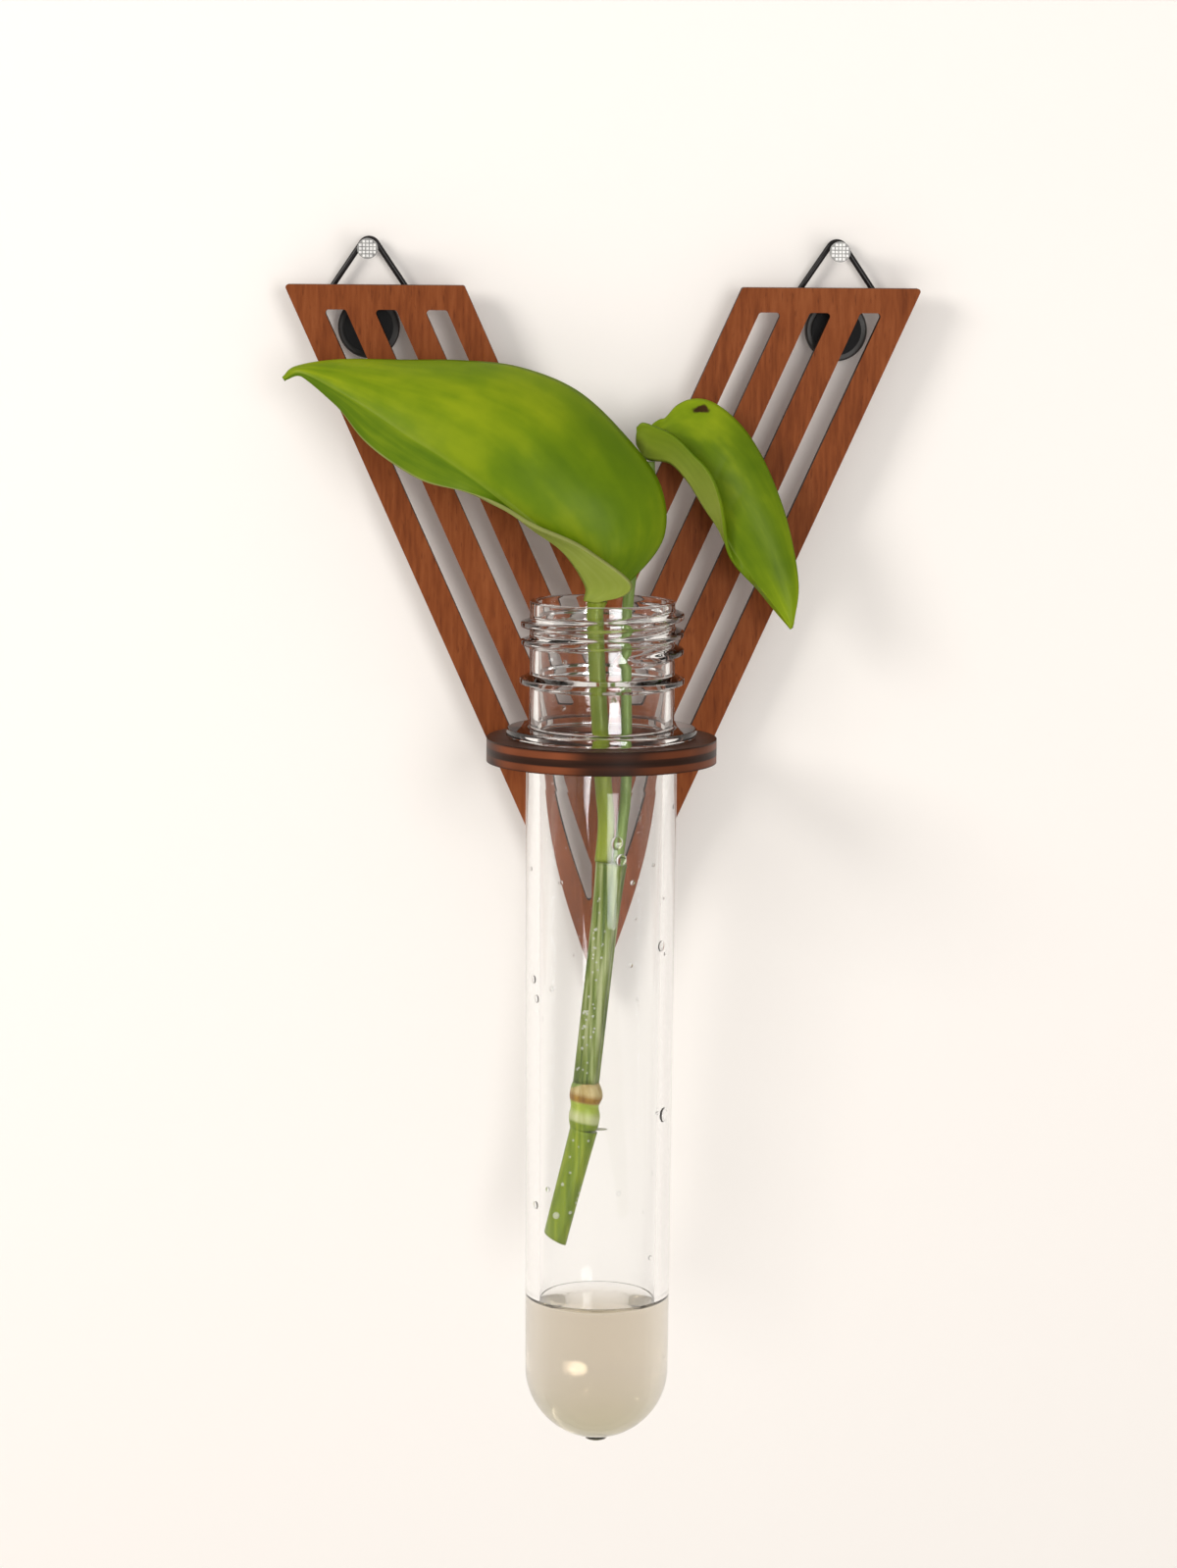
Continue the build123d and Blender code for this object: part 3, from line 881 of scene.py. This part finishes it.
# Drops
def blob(points, faces, centre, across, along, out, sizes):
    """Adds a flattened ball to the lists; sizes run along the three directions."""
    start = len(points)
    for row in range(1, drop_rows):
        tilt = math.pi * row / drop_rows
        for side in range(drop_sides):
            turn = math.tau * side / drop_sides
            points.append(
                centre
                + across * (sizes[0] * math.sin(tilt) * math.cos(turn))
                + along * (sizes[1] * math.cos(tilt))
                + out * (sizes[2] * math.sin(tilt) * math.sin(turn))
            )
    faces += shifted(ring_faces(drop_rows - 1, drop_sides), start)
    pole = len(points)
    points.append(centre + along * sizes[1])
    points.append(centre - along * sizes[1])
    last = start + (drop_rows - 2) * drop_sides
    for side in range(drop_sides):
        after = (side + 1) % drop_sides
        faces.append((pole, start + after, start + side))
        faces.append((pole + 1, last + side, last + after))


def make_tube_drops():
    chance = random.Random(drop_seed)
    drops = list(placed_drops)
    for _ in range(drop_count):
        angle = chance.uniform(*drop_angles)
        drop = chance.uniform(*drop_zone)
        drops.append((angle, drop, chance.uniform(*drop_sizes)))
    points = []
    faces = []
    for angle, drop, size in drops:
        turn = math.radians(angle) - math.pi / 2
        radius = bore_radius
        if -drop < bore_step:
            share = (-drop - bore_step) / (foot_centre - bore_step)
            radius = body_radius - wall + (foot_bore_radius - body_radius + wall) * share
        out = Vector((math.cos(turn), math.sin(turn), 0))
        across = Vector((-math.sin(turn), math.cos(turn), 0))
        centre = on_axis(radius, turn, -drop)
        sizes = (size, size * drop_long_share, size * drop_flat_share)
        blob(points, faces, centre, across, Vector((0, 0, 1)), out, sizes)
    return new_piece("wall_drops", points, faces, "tube")


def add_beads(points, faces, foot, head, beads):
    """Beads of water on a straight length of the cane: share of the way, turn to the right, radius."""
    axis = head - foot
    along = axis.normalized()
    across = square_to(along)
    front = across.cross(along)
    for share, angle, size in beads:
        turn = math.radians(angle)
        out = front * math.cos(turn) + across * math.sin(turn)
        side = across * math.cos(turn) - front * math.sin(turn)
        centre = foot + axis * share + out * stem_radius
        sizes = (size, size, size * drop_flat_share)
        blob(points, faces, centre, side, along, out, sizes)


def make_stem_drops():
    chance = random.Random(bead_seed)
    beads = []
    for _ in range(bead_count):
        share = chance.uniform(*bead_reach)
        angle = chance.uniform(*bead_angles)
        beads.append((share, angle, chance.uniform(*bead_sizes)))
    points = []
    faces = []
    add_beads(points, faces, cut_end, scar_foot, stem_drops)
    add_beads(points, faces, scar_head, fork, beads)
    return new_piece("stem_drops", points, faces, "cutting")


def make_root():
    """The first root, a short pale spike at the right of the scar's foot."""
    points = []
    faces = []
    right = Vector((1, 0, 0))
    front = Vector((0, -1, 0))
    up = Vector((0, 0, 1))
    place = scar_foot + right * stem_radius
    blob(points, faces, place, front, right, up, (root_thin, root_long, root_thin))
    return new_piece("first_root", points, faces, "cutting")


# Nails
def make_chequers(node):
    """Low square studs in rows on the face of a nail's head, as far as its rim leaves room."""
    low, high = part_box(node)
    middle = (low + high) / 2 / mm
    reach = (high.x - low.x) / mm / 2
    half = chequer_pitch / 2
    levels = ((-chequer_sink, chequer_base_share), (chequer_rise, chequer_top_share))
    offsets = [(place - (chequer_count - 1) / 2) * chequer_pitch for place in range(chequer_count)]
    stud_faces = [(0, 1, 2, 3), (4, 5, 6, 7)] + ring_faces(len(levels), len(square_corners))
    points = []
    faces = []
    for right in offsets:
        for up in offsets:
            if math.hypot(abs(right) + half, abs(up) + half) > reach:
                continue
            faces += shifted(stud_faces, len(points))
            for lift, share in levels:
                for across, along in square_corners:
                    x = middle.x + right + across * half * share
                    z = middle.z + up + along * half * share
                    points.append((x, low.y / mm - lift, z))
    piece = new_piece(node + "_chequer", points, faces, "nails")
    piece.data.polygons.foreach_set("use_smooth", [False] * len(piece.data.polygons))
    return piece


# Materials
def new_material(name, colour, roughness, gloss=plain_gloss):
    material = bpy.data.materials.new(name)
    material.use_nodes = True
    shader = material.node_tree.nodes["Principled BSDF"]
    shader.inputs["Base Color"].default_value = (*colour, 1)
    shader.inputs["Roughness"].default_value = roughness
    shader.inputs["Specular IOR Level"].default_value = gloss
    return material, material.node_tree, shader


def noise(tree, pattern, map_name="Object"):
    """Noise with its own scale along each axis: in waves per metre, or per blade on a leaf's map."""
    waves, detail = pattern
    place = tree.nodes.new("ShaderNodeTexCoord")
    stretch = tree.nodes.new("ShaderNodeMapping")
    stretch.inputs["Scale"].default_value = waves
    texture = tree.nodes.new("ShaderNodeTexNoise")
    texture.inputs["Scale"].default_value = 1
    texture.inputs["Detail"].default_value = detail
    tree.links.new(place.outputs[map_name], stretch.inputs["Vector"])
    tree.links.new(stretch.outputs["Vector"], texture.inputs["Vector"])
    return texture.outputs["Fac"]


def ramp(tree, factor, stops):
    """Colour that follows a value through the stops."""
    node = tree.nodes.new("ShaderNodeValToRGB")
    while len(node.color_ramp.elements) < len(stops):
        node.color_ramp.elements.new(1)
    for element, (place, colour) in zip(node.color_ramp.elements, stops):
        element.position = place
        element.color = (*colour, 1)
    tree.links.new(factor, node.inputs["Fac"])
    return node.outputs["Color"]


def mixed(tree, factor, under, over):
    """One colour over another, as far as the factor shows it."""
    node = tree.nodes.new("ShaderNodeMix")
    node.data_type = "RGBA"
    tree.links.new(factor, node.inputs["Factor"])
    tree.links.new(under, node.inputs[6])
    tree.links.new(over, node.inputs[7])
    return node.outputs[2]


def sums(tree, kind, first, second):
    """A value worked out from a value and a number, or from two values."""
    node = tree.nodes.new("ShaderNodeMath")
    node.operation = kind
    tree.links.new(first, node.inputs[0])
    if isinstance(second, (int, float)):
        node.inputs[1].default_value = second
    else:
        tree.links.new(second, node.inputs[1])
    return node.outputs[0]


def blended(tree, first, second, second_share):
    """Sum of two values, the second with its share and the first with the rest."""
    first_part = sums(tree, "MULTIPLY", first, 1 - second_share)
    return sums(tree, "ADD", first_part, sums(tree, "MULTIPLY", second, second_share))


def bumped(tree, shader, height, bump):
    strength, depth = bump
    node = tree.nodes.new("ShaderNodeBump")
    node.inputs["Strength"].default_value = strength
    node.inputs["Distance"].default_value = depth * mm
    tree.links.new(height, node.inputs["Height"])
    tree.links.new(node.outputs["Normal"], shader.inputs["Normal"])


def joined(tree, first, second):
    """Makes a mix of two shaders the material's surface and gives the mix node."""
    node = tree.nodes.new("ShaderNodeMixShader")
    tree.links.new(first.outputs["BSDF"], node.inputs[1])
    tree.links.new(second.outputs["BSDF"], node.inputs[2])
    tree.links.new(node.outputs["Shader"], tree.nodes["Material Output"].inputs["Surface"])
    return node


def mapped(tree, axis, map_name="Generated"):
    """The place along one axis, as a share of the piece's box or on another map."""
    place = tree.nodes.new("ShaderNodeTexCoord")
    split = tree.nodes.new("ShaderNodeSeparateXYZ")
    tree.links.new(place.outputs[map_name], split.inputs["Vector"])
    return split.outputs[axis]


def facing(tree, axis):
    """How squarely the surface faces along one of the object's axes, from 0 to 1."""
    return sums(tree, "ABSOLUTE", mapped(tree, axis, "Normal"), 0)


def plywood_face():
    material, tree, shader = new_material("stained_plywood", wood_mid, wood_roughness, wood_gloss)
    fibre = noise(tree, fibre_noise)
    grain = blended(tree, fibre, noise(tree, broad_noise), broad_share)
    colour = ramp(tree, grain, wood_stops)
    pores = ramp(tree, noise(tree, pore_noise), pore_reach)
    colour = mixed(tree, pores, colour, ramp(tree, fibre, pore_stops))
    edge = ramp(tree, facing(tree, "Y"), plate_edge_reach)
    burnt = ramp(tree, mapped(tree, "Y"), plate_ply_stops)
    colour = mixed(tree, edge, colour, burnt)
    tree.links.new(colour, shader.inputs["Base Color"])
    bumped(tree, shader, grain, wood_bump)
    return material


def plywood_ring():
    material, tree, shader = new_material("charred_plywood", ring_top_dark, ring_roughness, wood_gloss)
    fibre = noise(tree, ring_fibre_noise)
    top = ramp(tree, fibre, ring_top_stops)
    plies = ramp(tree, mapped(tree, "Z"), ring_ply_stops)
    sooty = ramp(tree, mapped(tree, "Z"), ring_soot_stops)
    soot = ramp(tree, noise(tree, ring_patch_noise), soot_reach)
    side = mixed(tree, soot, plies, sooty)
    flat = ramp(tree, facing(tree, "Z"), ring_flat_reach)
    colour = mixed(tree, flat, side, top)
    tree.links.new(colour, shader.inputs["Base Color"])
    bumped(tree, shader, fibre, ring_bump)
    return material


def clear(name, colour, bend, clear_share=1, shine=shown):
    material, _, shader = new_material(name, colour, 0)
    shader.inputs["Transmission Weight"].default_value = clear_share
    shader.inputs["IOR"].default_value = bend
    shader.inputs["Specular Tint"].default_value = (*shine, 1)
    return material


def still_liquid():
    """Water that is greener towards the foot of the tube, with a clearer band at the meniscus as a
    painted highlight, and takes up light on the way through.
    """
    material = clear("water", water_tint_and_painted_shine_stops[1][1], water_bend)
    tree = material.node_tree
    tint = ramp(tree, mapped(tree, "Z"), water_tint_and_painted_shine_stops)
    tree.links.new(tint, tree.nodes["Principled BSDF"].inputs["Base Color"])
    murk = tree.nodes.new("ShaderNodeVolumeAbsorption")
    murk.inputs["Color"].default_value = (*murk_colour, 1)
    murk.inputs["Density"].default_value = murk_density
    tree.links.new(murk.outputs["Volume"], tree.nodes["Material Output"].inputs["Volume"])
    return material


def gloss_black(name, colour, roughness, gloss=plain_gloss):
    material, tree, shader = new_material(name, colour, roughness, gloss)
    dim = [part * speck_dim_share for part in colour]
    shade = ramp(tree, noise(tree, speck_noise), [(speck_low_share, dim), (speck_high_share, colour)])
    tree.links.new(shade, shader.inputs["Base Color"])
    return material


def zinc(name, stops):
    material, tree, shader = new_material(name, stops[0][1], zinc_roughness)
    shader.inputs["Metallic"].default_value = zinc_metal_share
    shade = ramp(tree, noise(tree, cloud_noise), stops)
    tree.links.new(shade, shader.inputs["Base Color"])
    return material


def spotted(tree, patch, colour, spot):
    """A brown mark with a rough edge, around a place in the leaf's box."""
    place = tree.nodes.new("ShaderNodeTexCoord")
    near = tree.nodes.new("ShaderNodeVectorMath")
    near.operation = "DISTANCE"
    near.inputs[1].default_value = spot
    tree.links.new(place.outputs["Generated"], near.inputs[0])
    rough = sums(tree, "MULTIPLY", noise(tree, spot_noise), spot_rough_share)
    mark = ramp(tree, sums(tree, "ADD", near.outputs["Value"], rough), spot_reach)
    return mixed(tree, mark, colour, ramp(tree, patch, spot_stops))


def leaf_face(name, stops, bands=(), spot=None):
    """One side of a leaf, which lets part of the light through."""
    material, tree, shader = new_material(name, stops[1][1], leaf_roughness, leaf_gloss)
    streak = noise(tree, leaf_streak_noise, "UV")
    patch = blended(tree, noise(tree, leaf_patch_noise), streak, streak_share)
    colour = ramp(tree, patch, stops)
    # Bands lay further colours over the blade; on the large leaf, the upper part lighter is painted
    # light and the near half darker is painted shade
    for axis, map_name, reach, tones in bands:
        lit = ramp(tree, mapped(tree, axis, map_name), reach)
        colour = mixed(tree, lit, colour, ramp(tree, patch, tones))
    if spot:
        colour = spotted(tree, patch, colour, spot)
    tree.links.new(colour, shader.inputs["Base Color"])
    bumped(tree, shader, noise(tree, leaf_bump_noise), leaf_bump)
    glow = tree.nodes.new("ShaderNodeBsdfTranslucent")
    tree.links.new(colour, glow.inputs["Color"])
    joined(tree, shader, glow).inputs["Fac"].default_value = leaf_glow_share
    return material


def stem_skin(name, stops, bands=()):
    material, tree, shader = new_material(name, stops[1][1], stem_roughness, leaf_gloss)
    streak = noise(tree, stem_streak_noise)
    colour = ramp(tree, streak, stops)
    for lean_share, reach, tones in bands:
        lean = sums(tree, "MULTIPLY", mapped(tree, "X"), lean_share)
        marks = ramp(tree, sums(tree, "ADD", mapped(tree, "Z"), lean), reach)
        colour = mixed(tree, marks, colour, ramp(tree, streak, tones))
    tree.links.new(colour, shader.inputs["Base Color"])
    return material


def paint(piece, *materials):
    piece.data.materials.clear()
    for material in materials:
        piece.data.materials.append(material)


# Stage
def stage_plane(name, corners, material):
    mesh = bpy.data.meshes.new(name)
    mesh.from_pydata([Vector(corner) * mm for corner in corners], [], [(0, 1, 2, 3)])
    plane = bpy.data.objects.new(name, mesh)
    bpy.context.scene.collection.objects.link(plane)
    mesh.materials.append(material)
    return plane


def make_floor():
    material = new_material("pale_floor", floor_colour, stage_roughness)[0]
    corners = [(right * stage_half, rear * stage_half, floor_height) for right, rear in square_corners]
    return stage_plane("floor", corners, material)


def make_wall():
    """A pale wall that shows from the front only, so that rear views stay clear."""
    material, tree, shader = new_material("pale_wall", wall_colour, stage_roughness)
    shader.inputs["Emission Color"].default_value = (*wall_colour, 1)
    shader.inputs["Emission Strength"].default_value = wall_glow
    side = tree.nodes.new("ShaderNodeNewGeometry")
    clear_back = tree.nodes.new("ShaderNodeBsdfTransparent")
    tree.links.new(side.outputs["Backfacing"], joined(tree, shader, clear_back).inputs["Fac"])
    corners = [
        (-stage_half, 0, floor_height),
        (stage_half, 0, floor_height),
        (stage_half, 0, stage_half),
        (-stage_half, 0, stage_half),
    ]
    wall_plane = stage_plane("backdrop", corners, material)
    wall_plane.visible_diffuse = False
    wall_plane.visible_shadow = False
    return wall_plane


def area_light(name, place, aim, size, power, colour):
    lamp = bpy.data.lights.new(name, "AREA")
    lamp.shape = "ELLIPSE"
    lamp.size = size[0] * mm
    lamp.size_y = size[1] * mm
    lamp.energy = power
    lamp.color = colour
    light = bpy.data.objects.new(name, lamp)
    bpy.context.scene.collection.objects.link(light)
    start = Vector(place) * mm
    light.location = start
    light.rotation_euler = (Vector(aim) * mm - start).to_track_quat("-Z", "Y").to_euler()
    return light


def make_world():
    world = bpy.data.worlds.new("studio")
    bpy.context.scene.world = world
    world.use_nodes = True
    back = world.node_tree.nodes["Background"]
    back.inputs["Color"].default_value = (*world_colour, 1)
    back.inputs["Strength"].default_value = world_strength


def make_lights(shining_piece):
    """Key and fill lamps, and a strip lamp that lights one shining piece alone."""
    key = area_light("key", key_place, light_aim, key_size, key_power, key_colour)
    key.visible_transmission = False
    area_light("fill", fill_place, light_aim, fill_size, fill_power, fill_colour)
    strip = area_light("strip", strip_place, light_aim, strip_size, strip_power, strip_colour)
    shining = bpy.data.collections.new("shining")
    shining.objects.link(shining_piece)
    strip.light_linking.receiver_collection = shining


def make_camera():
    pitch = math.radians(camera_pitch_angle)
    yaw = math.radians(camera_yaw_angle)
    roll = math.radians(camera_roll_angle)
    ahead = Vector((math.sin(yaw) * math.cos(pitch), math.cos(yaw) * math.cos(pitch), -math.sin(pitch)))
    level = Vector((math.cos(yaw), -math.sin(yaw), 0))
    rise = level.cross(ahead)
    right = level * math.cos(roll) + rise * math.sin(roll)
    up = rise * math.cos(roll) - level * math.sin(roll)
    lens = bpy.data.cameras.new("camera")
    lens.lens = camera_lens
    camera = bpy.data.objects.new("camera", lens)
    bpy.context.scene.collection.objects.link(camera)
    turn = Matrix((right, up, -ahead)).transposed().to_4x4()
    camera.matrix_world = Matrix.Translation(Vector(camera_place) * mm) @ turn
    bpy.context.scene.camera = camera


# Pieces
tube = make_tube()
water = make_water()
stems = make_stems()
large_blade, small_blade, spot_place = make_leaves()
tube_drops = make_tube_drops()
wet_drops = make_stem_drops()
root = make_root()
chequers = [make_chequers(node) for node in ("left_nail", "right_nail")]

# Clear pieces; the small beads on the stems are part white, a painted glint
paint(tube, clear("clear_pet", pet_colour, pet_bend, shine=pet_shine))
paint(water, still_liquid())
paint(tube_drops, clear("drop", pet_colour, drop_bend))
paint(wet_drops, clear("bead", bead_painted_glint_colour, water_bend, bead_clear_share))
for see_through in (tube, water, tube_drops, wet_drops):
    see_through.visible_shadow = False
    see_through.visible_diffuse = False

# Wood, hangers and nails
paint(nodes["back_plate"], plywood_face())
paint(nodes["ring_shelf"], plywood_ring())
side_materials = {
    "_adhesive_pad": gloss_black("black_foam", foam_colour, foam_roughness),
    "_hanger_disc": gloss_black("black_plastic", disc_colour, disc_roughness),
    "_wire_bail": gloss_black("black_wire", wire_colour, wire_roughness, wire_gloss),
    # The nail's darker zinc is painted shade in the grooves between the studs
    "_nail": zinc("zinc_nail", nail_shank_and_groove_shade_stops),
}
for side in ("left", "right"):
    for ending, material in side_materials.items():
        paint(nodes[side + ending], material)
bright_metal = zinc("zinc_chequer", zinc_stops)
for chequer in chequers:
    paint(chequer, bright_metal)

# Leaves and stems
upper_green = leaf_face("leaf_green", leaf_stops, leaf_bands)
young_green = leaf_face("young_leaf_green", young_stops, young_bands, spot_place)
under_green = leaf_face("leaf_underside", under_stops)
young_under_green = leaf_face("young_leaf_underside", young_under_stops, young_under_bands)
paint(large_blade, upper_green, under_green)
paint(small_blade, young_green, young_under_green)
paint(root, stem_skin("root_pale", root_stops))
paint(stems["lower_cane"], stem_skin("green_cane", cane_stops))
paint(stems["scar_knot"], stem_skin("scar_tan", scar_stops, scar_bands))
paint(stems["upper_cane"], stem_skin("grey_cane", grey_cane_stops))
paint(stems["large_stalk"], stem_skin("light_stalk", light_stalk_stops, stalk_shade_bands))
paint(stems["small_stalk"], stem_skin("dull_stalk", dull_stalk_stops))

# Surroundings
make_floor()
make_wall()
make_lights(tube)
make_world()
make_camera()
bpy.context.scene.view_settings.view_transform = "Standard"
